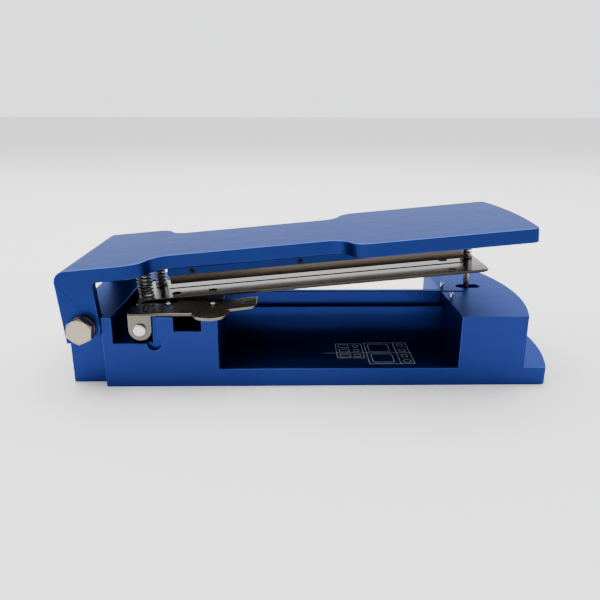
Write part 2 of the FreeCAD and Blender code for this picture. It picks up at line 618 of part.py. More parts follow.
def make_blade():
    """Ground steel strip, bevelled on the front so that its edge runs along the web."""
    body = doc.addObject("PartDesign::Body", "blade")
    section = outline(body, "blade_section", "YZ_Plane", "sizes.blade_start", [
        ("-sizes.edge_flat", "sizes.blade_tip"), ("0", "sizes.blade_tip"),
        ("0", BLADE_BACK), ("-sizes.blade_thickness", BLADE_BACK),
        ("-sizes.blade_thickness", "sizes.blade_tip + sizes.bevel_height")])
    pad(body, section, "%s - sizes.blade_start" % BLADE_END)
    return node(body, "blade", "lever")


# Presser ---------------------------------------------------------------------------------

def flat_place(along, level):
    """Where a lever point comes to in the presser's own flat frame: the mean of its
    places at rest and with the lever closed, along X from the rocking line."""
    rest = ("((%s) * cos(sizes.rest_angle * 1deg) - (%s) * sin(sizes.rest_angle * 1deg) - "
            "sizes.rock_place) / cos(sizes.rest_angle * 1deg)" % (along, level))
    closed = ("(%s) / cos(%s * 1deg) + (%s - %s) * tan(%s * 1deg) - sizes.rock_place"
              % (along, LEFT_OVER, ROCK_Z, PIVOT_Z, LEFT_OVER))
    return "((%s) + (%s)) / 2" % (rest, closed)


def make_presser_plate():
    body = doc.addObject("PartDesign::Body", "presser_plate")
    side = "sizes.presser_depth / 2"
    left = "sizes.presser_left - sizes.rock_place"
    right = "%s + sizes.presser_overrun - sizes.rock_place" % POST_RIGHT
    turn = "sizes.presser_corner"
    plan = outline(body, "presser_plan", "XY_Plane", "0", [
        (left, "-" + side), ("%s - %s" % (right, turn), "-" + side),
        (right, "-%s + %s" % (side, turn), turn, "%s - %s" % (right, turn),
         "-%s + %s" % (side, turn), "left"),
        (right, "%s - %s" % (side, turn)),
        ("%s - %s" % (right, turn), side, turn, "%s - %s" % (right, turn),
         "%s - %s" % (side, turn), "left"),
        (left, side)])
    pad(body, plan, "sizes.presser_thickness")
    top = "sizes.presser_thickness"
    slot = outline(body, "presser_slot", "XY_Plane", top, rectangle(
        "sizes.blade_start - sizes.slot_end_gap - sizes.rock_place",
        "-sizes.blade_thickness / 2 - sizes.presser_slot_width / 2",
        BLADE_END + " + sizes.slot_end_gap - sizes.rock_place",
        "-sizes.blade_thickness / 2 + sizes.presser_slot_width / 2"))
    pocket(body, slot, top)
    width = "(2 * sizes.post_radius + 2 * sizes.post_hole_gap)"
    for post, place in POSTS.items():
        hole = outline(body, "guide_hole_" + post, "XY_Plane", top, long_hole(
            flat_place(place, PRESSER_LOW), "sizes.post_line",
            "(%s + sizes.guide_slot_reach)" % width, width))
        pocket(body, hole, top)
    for name, x, y in pin_places():
        if name.startswith("tape"):
            continue
        hole = disc(body, name + "_hole", "XY_Plane", top, x + " - sizes.rock_place", y,
                    "sizes.presser_hole_radius")
        pocket(body, hole, top)
    return node(body, "presser_plate", "presser")


def snap_ring(name, post, top):
    ring = rod(name + "_ring", "sizes.clip_radius", "sizes.clip_thickness", post,
               "sizes.post_line", "%s - sizes.clip_thickness" % top)
    hole = rod(name + "_hole", "sizes.post_radius", "sizes.clip_thickness", post,
               "sizes.post_line", "%s - sizes.clip_thickness" % top)
    mouth = box(name + "_mouth", "%s - sizes.clip_slot / 2" % post,
                "sizes.post_line - sizes.clip_radius", "%s - sizes.clip_thickness" % top,
                "sizes.clip_slot", "sizes.clip_radius", "sizes.clip_thickness")
    return cut(name, ring, fuse(name + "_gap", [hole, mouth]))


def stop_level():
    """Top of the stop ring on the long post, so that it bears on the block at rest."""
    return ("(((%s - sizes.stop_depth) - (%s)) / cos(sizes.rest_angle * 1deg) - "
            "(%s + sizes.clip_radius) * tan(sizes.rest_angle * 1deg) - "
            "sizes.clip_gap)" % ("sizes.block_height", PIVOT_Z, POST_RIGHT))


def coil_tube(name, outer, inner, x, y):
    """A spring between the presser's top face and the lever, as a tube of its diameters."""
    low = "(%s + sizes.spring_gap)" % PRESSER_TOP
    length = "%s - sizes.spring_gap - %s" % (UNDERSIDE, low)
    coil = rod(name + "_coil", outer, length, x, y, low)
    core = rod(name + "_core", inner, length, x, y, low)
    return cut(name + "_tube", coil, core)


def make_posts():
    clip_top = "(%s - sizes.clip_gap)" % PRESSER_LOW
    for side, post in POSTS.items():
        end = clip_top if side == "left" else stop_level()
        foot = "(%s - sizes.clip_thickness - sizes.clip_tail)" % end
        node(group("guide_post_%s_group" % side, [
            rod("post_rod_" + side, "sizes.post_radius",
                "%s + sizes.post_grip - %s" % (UNDERSIDE, foot), post, "sizes.post_line", foot)]),
            "guide_post_" + side, "lever")
        node(snap_ring("presser_ring_" + side, post, clip_top), "presser_ring_" + side, "lever")
        node(coil_tube("presser_spring_" + side, "sizes.spring_outer", "sizes.spring_inner",
                       post, "sizes.post_line"), "presser_spring_" + side, "lever")
    node(snap_ring("stop_ring", POST_RIGHT, stop_level()), "stop_ring", "lever")


def make_lift_spring():
    node(coil_tube("lift_spring", "sizes.lift_outer", "sizes.lift_inner", "sizes.lift_place",
                   LIFT_LINE), "lift_spring", "lever")
    node(group("lift_stud_group", [
        rod("lift_stud_rod", "sizes.stud_radius", "sizes.stud_length + sizes.stud_grip",
            "sizes.lift_place", LIFT_LINE, "%s - sizes.stud_length" % UNDERSIDE)]),
        "lift_stud", "lever")


# Gate ------------------------------------------------------------------------------------

def hinge_screw_place():
    return ("sizes.hinge_block_start + sizes.hinge_block_width / 2",
            "((%s + sizes.gate_thickness + %s) / 2)" % (GATE_FRONT, GATE_LEFT_BACK))


def make_gate():
    """Bent sheet: a level plate with a thumb lobe, a raised right end and two ears."""
    body = doc.addObject("PartDesign::Body", "gate")
    thick = "sizes.gate_thickness"
    lobe_y = "(%s + sizes.lobe_setback)" % GATE_FRONT
    reach = "sqrt(sizes.lobe_radius ^ 2 - sizes.lobe_setback ^ 2)"
    plan = outline(body, "gate_plan", "XY_Plane", GATE_BOTTOM, [
        ("sizes.gate_start", GATE_FRONT), ("sizes.lobe_place - %s" % reach, GATE_FRONT),
        ("sizes.lobe_place", "%s - sizes.lobe_radius" % lobe_y, "sizes.lobe_radius",
         "sizes.lobe_place", lobe_y, "left"),
        ("sizes.lobe_place + %s" % reach, GATE_FRONT, "sizes.lobe_radius", "sizes.lobe_place",
         lobe_y, "left"),
        ("sizes.gate_step_place", "%s + sizes.gate_step" % GATE_FRONT),
        ("sizes.gate_step_place", GATE_BACK), ("sizes.gate_left_end", GATE_BACK),
        ("sizes.gate_left_end", GATE_LEFT_BACK),
        ("sizes.gate_start + sizes.gate_corner_run", GATE_LEFT_BACK),
        ("sizes.gate_start", "%s - sizes.gate_corner_depth" % GATE_LEFT_BACK)])
    pad(body, plan, thick)
    rise = "((sizes.gate_end - sizes.gate_bend) * tan(sizes.gate_ramp_angle * 1deg))"
    ramp = outline(body, "gate_ramp", "XZ_Plane", "-" + GATE_BACK, [
        ("sizes.gate_bend", GATE_BOTTOM), ("sizes.gate_end", "%s + %s" % (GATE_BOTTOM, rise)),
        ("sizes.gate_end", "%s + %s + %s" % (GATE_BOTTOM, rise, thick)),
        ("sizes.gate_bend", "%s + %s" % (GATE_BOTTOM, thick))])
    ramp_depth = "%s - %s - sizes.gate_step" % (GATE_BACK, GATE_FRONT)
    pad(body, ramp, ramp_depth)
    tip = (number("sizes.gate_end"), number("%s + sizes.gate_step" % GATE_FRONT))
    round_edges(body, "ramp_tip", "sizes.gate_tip_radius", "z", [tip])
    for name, level, radius in (
            ("front_ear", "-" + GATE_FRONT, "sizes.ear_radius"),
            ("rear_ear", "-%s + %s" % (GATE_LEFT_BACK, thick), "sizes.rear_ear_radius")):
        ear_start = "sizes.gate_pin_place - %s" % radius
        ear_end = "sizes.gate_pin_place + %s" % radius
        ear = outline(body, name, "XZ_Plane", level, [
            (ear_start, GATE_PIN_Z),
            ("sizes.gate_pin_place", "%s - %s" % (GATE_PIN_Z, radius), radius,
             "sizes.gate_pin_place", GATE_PIN_Z, "left"),
            (ear_end, GATE_PIN_Z, radius, "sizes.gate_pin_place", GATE_PIN_Z, "left"),
            (ear_end, "%s + %s" % (GATE_BOTTOM, thick)),
            (ear_start, "%s + %s" % (GATE_BOTTOM, thick))])
        pad(body, ear, thick, back=True)
    bore = disc(body, "gate_bore", "XZ_Plane", "sizes.body_depth / 2", "sizes.gate_pin_place",
                GATE_PIN_Z, "sizes.gate_pin_radius + sizes.gate_pin_play")
    pocket(body, bore, "sizes.body_depth / 2")
    for name, x, y in pin_places()[:2]:
        hole = disc(body, name + "_hole", "XY_Plane", "%s + %s" % (GATE_BOTTOM, thick), x, y,
                    "sizes.tape_pin_radius + sizes.tape_hole_play")
        pocket(body, hole, thick)
    return node(body, "gate", "base")


def make_gate_hinge():
    front = "(%s + sizes.gate_thickness + sizes.ear_gap)" % GATE_FRONT
    back = "(%s - sizes.gate_thickness - sizes.ear_gap)" % GATE_LEFT_BACK
    block = box("hinge_block_blank", "sizes.hinge_block_start", front, CAVITY_FLOOR,
                "sizes.hinge_block_width", "%s - %s" % (back, front), "sizes.hinge_block_height")
    bore = rod("hinge_block_bore", "sizes.gate_pin_radius", "%s - %s" % (back, front),
               "sizes.gate_pin_place", front, GATE_PIN_Z, "back")
    x, y = hinge_screw_place()
    thread = rod("hinge_block_thread", "sizes.hinge_screw_radius", "sizes.hinge_screw_grip",
                 x, y, CAVITY_FLOOR)
    node(cut("hinge_block_cut", block, fuse("hinge_block_holes", [bore, thread])), "hinge_block")
    head = rod("hinge_screw_head", "sizes.hinge_screw_head_radius", "sizes.hinge_screw_head",
               x, y, "sizes.hinge_screw_sink - sizes.hinge_screw_head")
    shank = rod("hinge_screw_shank", "sizes.hinge_screw_radius",
                "%s + sizes.hinge_screw_grip - sizes.hinge_screw_sink" % CAVITY_FLOOR,
                x, y, "sizes.hinge_screw_sink")
    node(fuse("hinge_screw", [head, shank]), "hinge_block_screw")

    head_face = "(%s - sizes.head_gap - sizes.gate_pin_head)" % GATE_FRONT
    pin_end = "(%s + sizes.gate_pin_tail)" % GATE_LEFT_BACK
    pin_head = rod("gate_pin_head_disc", "sizes.gate_pin_head_radius", "sizes.gate_pin_head",
                   "sizes.gate_pin_place", head_face, GATE_PIN_Z, "back")
    pin_shank = rod("gate_pin_shank", "sizes.gate_pin_radius", "%s - %s" % (pin_end, head_face),
                    "sizes.gate_pin_place", head_face, GATE_PIN_Z, "back")
    node(fuse("gate_pin_solid", [pin_head, pin_shank]), "gate_pin")
    ring_start = "(%s + sizes.gate_ring_gap)" % GATE_LEFT_BACK
    ring = rod("gate_ring_disc", "sizes.clip_radius", "sizes.clip_thickness",
               "sizes.gate_pin_place", ring_start, GATE_PIN_Z, "back")
    ring_hole = rod("gate_ring_hole", "sizes.gate_pin_radius", "sizes.clip_thickness",
                    "sizes.gate_pin_place", ring_start, GATE_PIN_Z, "back")
    ring_mouth = box("gate_ring_mouth", "sizes.gate_pin_place - sizes.clip_slot / 2", ring_start,
                     "%s - sizes.clip_radius" % GATE_PIN_Z, "sizes.clip_slot",
                     "sizes.clip_thickness", "sizes.clip_radius")
    node(cut("gate_ring", ring, fuse("gate_ring_gap", [ring_hole, ring_mouth])), "gate_pin_ring")


make_base_block()
make_pins()
make_lever_arm()
make_pivots()
make_blade_holder()
make_holder_screws()
make_blade()
make_presser_plate()
make_posts()
make_lift_spring()
make_gate()
make_gate_hinge()

doc.recompute()
for thing in doc.Objects:
    if "Invalid" in thing.State or "Error" in thing.State:
        raise ValueError("%s failed: %s" % (thing.Name, thing.State))
for thing in NODES:
    if thing.Shape.isNull() or not thing.Shape.isValid():
        raise ValueError("%s has no valid shape" % thing.Label)

os.makedirs("parts", exist_ok=True)
for thing in NODES:
    thing.Shape.exportStep("parts/%s.step" % thing.Label)
    size = thing.Shape.BoundBox
    print("%-22s solids %d volume %9.1f  X %.1f %.1f  Y %.1f %.1f  Z %.1f %.1f" % (
        thing.Label, len(thing.Shape.Solids), thing.Shape.Volume,
        size.XMin, size.XMax, size.YMin, size.YMax, size.ZMin, size.ZMax))
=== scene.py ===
from math import cos, pi, radians, sin

import bmesh
import bpy
from mathutils import Matrix, Vector


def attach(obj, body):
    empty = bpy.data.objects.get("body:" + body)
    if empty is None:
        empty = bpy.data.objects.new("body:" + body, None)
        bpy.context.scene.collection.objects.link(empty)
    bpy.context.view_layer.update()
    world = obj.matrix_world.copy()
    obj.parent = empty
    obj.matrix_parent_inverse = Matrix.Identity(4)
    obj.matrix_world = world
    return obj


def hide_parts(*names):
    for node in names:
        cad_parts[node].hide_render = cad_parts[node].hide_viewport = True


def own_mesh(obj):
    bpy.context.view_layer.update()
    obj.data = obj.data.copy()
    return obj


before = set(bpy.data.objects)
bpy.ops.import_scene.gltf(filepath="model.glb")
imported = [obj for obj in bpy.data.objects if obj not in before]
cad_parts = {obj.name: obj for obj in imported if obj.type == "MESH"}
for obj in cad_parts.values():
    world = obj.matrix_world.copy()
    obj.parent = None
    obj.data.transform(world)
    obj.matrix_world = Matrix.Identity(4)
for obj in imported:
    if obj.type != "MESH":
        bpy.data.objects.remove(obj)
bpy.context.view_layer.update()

# Base block.  One bar of aluminium, milled to a flange, two end blocks and the thin web between
# them, bead blasted and dyed blue in the anodising bath.  Its edges are broken by hand, and the
# thin colour on them shows as a paler line.


def hex_colour(code):
    """An sRGB hex colour as linear red, green, blue and alpha."""
    channels = [int(code[i:i + 2], 16) / 255 for i in (1, 3, 5)]
    linear = [c / 12.92 if c <= 0.04045 else ((c + 0.055) / 1.055) ** 2.4 for c in channels]
    return (*linear, 1.0)


def add_node(tree, kind, settings=None, links=None):
    """Add one node, with its settings and the sockets that feed its inputs."""
    node = tree.nodes.new(kind)
    for name, value in (settings or {}).items():
        if isinstance(name, int) or name in node.inputs:
            node.inputs[name].default_value = value
        else:
            setattr(node, name, value)
    for name, source in (links or {}).items():
        tree.links.new(source, node.inputs[name])
    return node


def new_material(name):
    material = bpy.data.materials.new(name)
    material.use_nodes = True
    material.node_tree.nodes.clear()
    return material, material.node_tree


def anodised_aluminium(name, face, shade, gloss):
    """Bead-blasted, dyed aluminium: a metal that tints what it reflects, and goes lavender at
    low angles.  Grit of 0.1 mm is drawn at 0.4 mm so that it shows."""
    material, tree = new_material(name)
    place = add_node(tree, "ShaderNodeTexCoord").outputs["Object"]
    cloud = add_node(tree, "ShaderNodeTexNoise", {"Scale": 22.0, "Detail": 3.0}, {"Vector": place})
    dye = add_node(tree, "ShaderNodeMix", {"data_type": "RGBA", 6: hex_colour(face),
                                           7: hex_colour(shade)},
                   {0: cloud.outputs["Fac"]})
    grit = add_node(tree, "ShaderNodeTexNoise", {"Scale": 2500.0, "Detail": 2.0},
                    {"Vector": place})
    along = add_node(tree, "ShaderNodeMapping", {"Scale": (20.0, 900.0, 900.0)},
                     {"Vector": place})
    cutter = add_node(tree, "ShaderNodeTexNoise", {"Scale": 1.0, "Detail": 3.0},
                      {"Vector": along.outputs["Vector"]})
    mixed = add_node(tree, "ShaderNodeMath", {"operation": "ADD"},
                     {0: grit.outputs["Fac"], 1: cutter.outputs["Fac"]})
    rough = add_node(tree, "ShaderNodeMapRange", {"From Min": 0.6, "From Max": 1.4,
                                                  "To Min": gloss - 0.05, "To Max": gloss + 0.07},
                     {"Value": mixed.outputs["Value"]})
    bump = add_node(tree, "ShaderNodeBump", {"Strength": 0.05, "Distance": 0.0001},
                    {"Height": mixed.outputs["Value"]})
    shader = add_node(tree, "ShaderNodeBsdfPrincipled",
                      {"Metallic": 1.0, "Specular Tint": hex_colour("#C8D2EE")},
                      {"Base Color": dye.outputs[2], "Roughness": rough.outputs["Result"],
                       "Normal": bump.outputs["Normal"]})
    add_node(tree, "ShaderNodeOutputMaterial", links={"Surface": shader.outputs["BSDF"]})
    return material


def finished(piece, body):
    """Freeze the piece's modifiers into its mesh and fix it to a body of the frame."""
    bpy.context.view_layer.update()
    depsgraph = bpy.context.evaluated_depsgraph_get()
    mesh = bpy.data.meshes.new_from_object(piece.evaluated_get(depsgraph))
    piece.modifiers.clear()
    piece.data = mesh
    mesh.name = piece.name
    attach(piece, body)
    return piece


def broken_edges(node_name, materials, width, folds=None, segments=2):
    """A copy of a part's solid with its long outer edges rounded over by width.  folds is a
    function of an edge's two ends that gives a wider bend radius, or None."""
    bm = bmesh.new()
    bm.from_mesh(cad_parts[node_name].data)
    bmesh.ops.remove_doubles(bm, verts=bm.verts, dist=2e-6)
    bmesh.ops.dissolve_limit(bm, angle_limit=radians(0.5), verts=bm.verts, edges=bm.edges)
    if folds:
        bends = {}
        for edge in bm.edges:
            if edge.is_manifold and edge.calc_face_angle() > radians(40):
                radius = folds(*[v.co * 1000 for v in edge.verts])
                if radius:
                    bends.setdefault(radius, []).append(edge)
        for radius, edges in bends.items():
            bmesh.ops.bevel(bm, geom=edges, offset=radius / 1000, offset_type="OFFSET",
                            segments=5, profile=0.5, affect="EDGES")
    weight = bm.edges.layers.float.new("bevel_weight_edge")
    for edge in bm.edges:
        long_enough = edge.calc_length() > 1.3 * width
        outer = edge.is_manifold and edge.is_convex
        if outer and long_enough and edge.calc_face_angle() > radians(35):
            edge[weight] = 1.0
    mesh = bpy.data.meshes.new(node_name + "_finished")
    bm.to_mesh(mesh)
    bm.free()
    mesh.shade_smooth()
    for material in materials:
        mesh.materials.append(material)
    piece = bpy.data.objects.new(node_name + "_finished", mesh)
    bpy.context.scene.collection.objects.link(piece)
    bevel = piece.modifiers.new("edge_break", "BEVEL")
    bevel.limit_method = "WEIGHT"
    bevel.width = width
    bevel.segments = segments
    bevel.use_clamp_overlap = False
    bevel.material = len(materials) - 1
    bpy.context.view_layer.update()
    depsgraph = bpy.context.evaluated_depsgraph_get()
    mesh = bpy.data.meshes.new_from_object(piece.evaluated_get(depsgraph))
    piece.modifiers.clear()
    piece.data = mesh
    mesh.set_sharp_from_angle(angle=radians(38))
    bm = bmesh.new()
    bm.from_mesh(mesh)
    for edge in bm.edges:
        if len({face.material_index for face in edge.link_faces}) > 1:
            edge.smooth = False
    bm.to_mesh(mesh)
    bm.free()
    normals = piece.modifiers.new("flat_faces", "WEIGHTED_NORMAL")
    normals.keep_sharp = True
    normals.weight = 100
    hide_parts(node_name)
    return piece


blue_face = anodised_aluminium("blue_anodised_aluminium", "#253272", "#202C68", 0.40)
blue_edge = anodised_aluminium("blue_anodised_edge", "#3A4F96", "#34488C", 0.36)
block = broken_edges("base_block", [blue_face, blue_edge], 0.00025)
finished(block, "base")

# Strip chart on the pocket floor.  A laser has burned the blue off in thin lines that leave
# bare, pale metal: plain frames for the two strip sizes and a centre line.


def laser_mark():
    """Bare aluminium oxide under the laser: matt, pale and slightly broken up along the line."""
    material, tree = new_material("laser_marked_aluminium")
    place = add_node(tree, "ShaderNodeTexCoord").outputs["Object"]
    burn = add_node(tree, "ShaderNodeTexNoise", {"Scale": 1500.0, "Detail": 2.0},
                    {"Vector": place})
    tone = add_node(tree, "ShaderNodeMix", {"data_type": "RGBA", 6: hex_colour("#8E9AA6"),
                                            7: hex_colour("#C9CDCB")},
                    {0: burn.outputs["Fac"]})
    shader = add_node(tree, "ShaderNodeBsdfPrincipled", {"Metallic": 0.3, "Roughness": 0.6},
                      {"Base Color": tone.outputs[2]})
    add_node(tree, "ShaderNodeOutputMaterial", links={"Surface": shader.outputs["BSDF"]})
    return material


def rounded_frame(x0, y0, x1, y1, corner, steps=5):
    """Closed outline of a rectangle with rounded corners, in millimetres."""
    points = []
    for cx, cy, start in ((x1 - corner, y1 - corner, 0), (x0 + corner, y1 - corner, 90),
                          (x0 + corner, y0 + corner, 180), (x1 - corner, y0 + corner, 270)):
        for i in range(steps + 1):
            turn = radians(start + 90 * i / steps)
            points.append((cx + corner * cos(turn), cy + corner * sin(turn)))
    return points


LINE_RISE = 0.03


def line_band(bm, points, width, level, closed=True):
    """A flat band with a little thickness, centred on the line through the points."""
    count = len(points)
    rings = []
    for i, (x, y) in enumerate(points):
        before = points[i - 1] if closed or i else points[i]
        after = points[(i + 1) % count] if closed or i < count - 1 else points[i]
        first = Vector((x - before[0], y - before[1]))
        last = Vector((after[0] - x, after[1] - y))
        first = first.normalized() if first.length > 1e-6 else last.normalized()
        last = last.normalized() if last.length > 1e-6 else first
        middle = (first + last).normalized()
        across = Vector((-middle.y, middle.x)) * width / 2 / max(middle.dot(last), 0.4)
        ring = []
        for side, height in ((-1, 0), (1, 0), (1, LINE_RISE), (-1, LINE_RISE)):
            ring.append(bm.verts.new(((x + side * across.x) / 1000,
                                      (y + side * across.y) / 1000, (level + height) / 1000)))
        rings.append(ring)
    pairs = [(rings[i], rings[(i + 1) % count]) for i in range(count if closed else count - 1)]
    for ring, following in pairs:
        for j in range(4):
            k = (j + 1) % 4
            bm.faces.new((ring[j], ring[k], following[k], following[j]))
    if not closed:
        bm.faces.new(rings[0])
        bm.faces.new(reversed(rings[-1]))


pocket_floor = 7.4
line_width = 0.24
sharp_corner = 0.3
chart = bmesh.new()
frames = [(99.7, -24.4, 110.9, -8.7, sharp_corner), (112.3, -30.6, 130.6, -7.8, sharp_corner),
          (113.7, -17.9, 122.5, -9.3, 1.3), (113.9, -28.8, 122.7, -20.4, 1.3)]
for x0, x1, half, rows in ((101.0, 105.2, 1.5, (-21.9, -16.4, -11.4)),
                           (107.2, 109.2, 1.2, (-16.4, -11.4)),
                           (126.7, 129.0, 1.3, (-22.4, -16.6, -10.6))):
    frames += [(x0, y - half, x1, y + half, sharp_corner) for y in rows]
frames += [(106.8, -23.3, 109.6, -20.5, 1.3), (126.5, -29.4, 129.5, -26.4, 1.4)]
for x0, y0, x1, y1, corner in frames:
    line_band(chart, rounded_frame(x0, y0, x1, y1, corner), line_width, pocket_floor)
for line in ([(125.0, -30.5), (125.0, -7.9)], [(93.6, -19.1), (131.6, -19.1)]):
    line_band(chart, line, line_width, pocket_floor, closed=False)
bmesh.ops.recalc_face_normals(chart, faces=chart.faces)
chart_mesh = bpy.data.meshes.new("strip_chart")
chart.to_mesh(chart_mesh)
chart.free()
chart_mesh.materials.append(laser_mark())
strip_chart = bpy.data.objects.new("strip_chart", chart_mesh)
bpy.context.scene.collection.objects.link(strip_chart)
finished(strip_chart, "base")

# Locating pins.  Ground dowels with domed ends, pressed into the block tops: the gate drops over
# one pair and the strip's holes over the others.  The dome is turned and polished.


def drawn_steel(name, light, dark, gloss, stretch=(1.0, 1.0, 1.0)):
    """Bare steel: grey metal with fine scratches along one way and faint handling smears."""
    material, tree = new_material(name)
    place = add_node(tree, "ShaderNodeTexCoord").outputs["Object"]
    along = add_node(tree, "ShaderNodeMapping", {"Scale": stretch}, {"Vector": place})
    scratch = add_node(tree, "ShaderNodeTexNoise", {"Scale": 1200.0, "Detail": 4.0},
                       {"Vector": along.outputs["Vector"]})
    smear = add_node(tree, "ShaderNodeTexNoise", {"Scale": 70.0, "Detail": 3.0},
                     {"Vector": place})
    tone = add_node(tree, "ShaderNodeMix", {"data_type": "RGBA", 6: hex_colour(dark),
                                            7: hex_colour(light)},
                    {0: smear.outputs["Fac"]})
    both = add_node(tree, "ShaderNodeMath", {"operation": "MULTIPLY"},
                    {0: scratch.outputs["Fac"], 1: smear.outputs["Fac"]})
    rough = add_node(tree, "ShaderNodeMapRange", {"From Min": 0.1, "From Max": 0.45,
                                                  "To Min": gloss * 0.9, "To Max": gloss * 1.2},
                     {"Value": both.outputs["Value"]})
    bump = add_node(tree, "ShaderNodeBump", {"Strength": 0.015, "Distance": 0.00005},
                    {"Height": scratch.outputs["Fac"]})
    shader = add_node(tree, "ShaderNodeBsdfPrincipled", {"Metallic": 1.0},
                      {"Base Color": tone.outputs[2], "Roughness": rough.outputs["Result"],
                       "Normal": bump.outputs["Normal"]})
    add_node(tree, "ShaderNodeOutputMaterial", links={"Surface": shader.outputs["BSDF"]})
    return material


def turned(name, profile, sides=40):
    """Turn a profile of (radius, height) pairs in millimetres about Z.  A radius of 0 at
    either end closes it to a point."""
    bm = bmesh.new()
    rings = []
    for radius, height in profile:
        if radius == 0:
            rings.append([bm.verts.new((0, 0, height / 1000))])
            continue
        rings.append([bm.verts.new((radius * cos(2 * pi * i / sides) / 1000,
                                    radius * sin(2 * pi * i / sides) / 1000, height / 1000))
                      for i in range(sides)])
    for low, high in zip(rings, rings[1:]):
        for i in range(sides):
            k = (i + 1) % sides
            if len(low) == 1:
                bm.faces.new((low[0], high[k], high[i]))
            elif len(high) == 1:
                bm.faces.new((low[i], low[k], high[0]))
            else:
                bm.faces.new((low[i], low[k], high[k], high[i]))
    bmesh.ops.recalc_face_normals(bm, faces=bm.faces)
    mesh = bpy.data.meshes.new(name)
    bm.to_mesh(mesh)
    bm.free()
    mesh.shade_smooth()
    mesh.set_sharp_from_angle(angle=radians(35))
    return mesh


def set_out(name, pattern, places, turn, material):
    """Copies of one turned or milled shape, set out on the given points and all turned alike,
    grown with a node tree and then made one plain mesh."""
    pattern_object = bpy.data.objects.new(name + "_pattern", pattern)
    bpy.context.scene.collection.objects.link(pattern_object)
    tree = bpy.data.node_groups.new(name + "_layout", "GeometryNodeTree")
    tree.interface.new_socket("Points", in_out="INPUT", socket_type="NodeSocketGeometry")
    tree.interface.new_socket("Pattern", in_out="INPUT", socket_type="NodeSocketObject")
    tree.interface.new_socket("Turn", in_out="INPUT", socket_type="NodeSocketVector")
    tree.interface.new_socket("Pieces", in_out="OUTPUT", socket_type="NodeSocketGeometry")
    given = add_node(tree, "NodeGroupInput")
    shape = add_node(tree, "GeometryNodeObjectInfo", {"transform_space": "ORIGINAL"},
                     {"Object": given.outputs["Pattern"]})
    copies = add_node(tree, "GeometryNodeInstanceOnPoints", links={
        "Points": given.outputs["Points"], "Instance": shape.outputs["Geometry"]})
    tree.links.new(given.outputs["Turn"], copies.inputs["Rotation"])
    real = add_node(tree, "GeometryNodeRealizeInstances",
                    links={"Geometry": copies.outputs["Instances"]})
    faced = add_node(tree, "GeometryNodeSetMaterial", {"Material": material},
                     {"Geometry": real.outputs["Geometry"]})
    add_node(tree, "NodeGroupOutput", links={"Pieces": faced.outputs["Geometry"]})
    points = bpy.data.meshes.new(name)
    points.from_pydata([[c / 1000 for c in place] for place in places], [], [])
    piece = bpy.data.objects.new(name, points)
    bpy.context.scene.collection.objects.link(piece)
    layout = piece.modifiers.new("layout", "NODES")
    layout.node_group = tree
    values = {"Pattern": pattern_object, "Turn": turn}
    for socket in tree.interface.items_tree:
        if socket.in_out == "INPUT" and socket.name in values:
            layout[socket.identifier] = values[socket.name]
    bpy.context.view_layer.update()
    depsgraph = bpy.context.evaluated_depsgraph_get()
    mesh = bpy.data.meshes.new_from_object(piece.evaluated_get(depsgraph))
    piece.modifiers.clear()
    piece.data = mesh
    bpy.data.objects.remove(pattern_object)
    return piece


pin_steel = drawn_steel("ground_pin_steel", "#D9D7D2", "#B4B2AE", 0.16)
block_top = 29.0
pin_seat = 5.0
foot_chamfer = 0.1
for name, radius, height, places in (
        ("gate_register_pins", 1.0, 2.4, [(30.8, -22.0), (48.7, -22.0)]),
        ("left_register_pins", 0.75, 1.2, [(31.8, -8.4), (47.4, -8.4)]),
        ("right_register_pins", 0.75, 2.6, [(148.9, -10.4), (148.9, 5.9)])):
    dome = [(radius * cos(radians(a)), height - radius + radius * sin(radians(a)))
            for a in range(0, 90, 10)]
    profile = [(0, -pin_seat), (radius - foot_chamfer, -pin_seat),
               (radius, foot_chamfer - pin_seat)] + dome + [(0, height)]
    pins = set_out(name + "_turned", turned(name + "_shape", profile),
                   [(x, y, block_top) for x, y in places], (0, 0, 0), pin_steel)
    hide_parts(name)
    finished(pins, "base")

# Lever.  A 5.5 mm plate with a leg down each side of the base's tail, milled in one piece and
# anodised with the base.  A waist on both long sides clears the gate and the fingers.
lever_face = anodised_aluminium("blue_anodised_lever", "#1F2D66", "#1B285E", 0.38)
lever = broken_edges("lever_arm", [lever_face, blue_edge], 0.0003, segments=3)
finished(lever, "lever")

# Pivots.  Each leg has a flanged bronze bushing that turns on a shoulder screw.  The screw is
# turned bright steel with a chamfered hexagon head.
bronze = drawn_steel("turned_bronze", "#8A6A55", "#6E5346", 0.32, (3.0, 1.0, 3.0))
for side in ("front", "rear"):
    bushing = broken_edges("pivot_bushing_" + side, [bronze], 0.00018)
    finished(bushing, "lever")


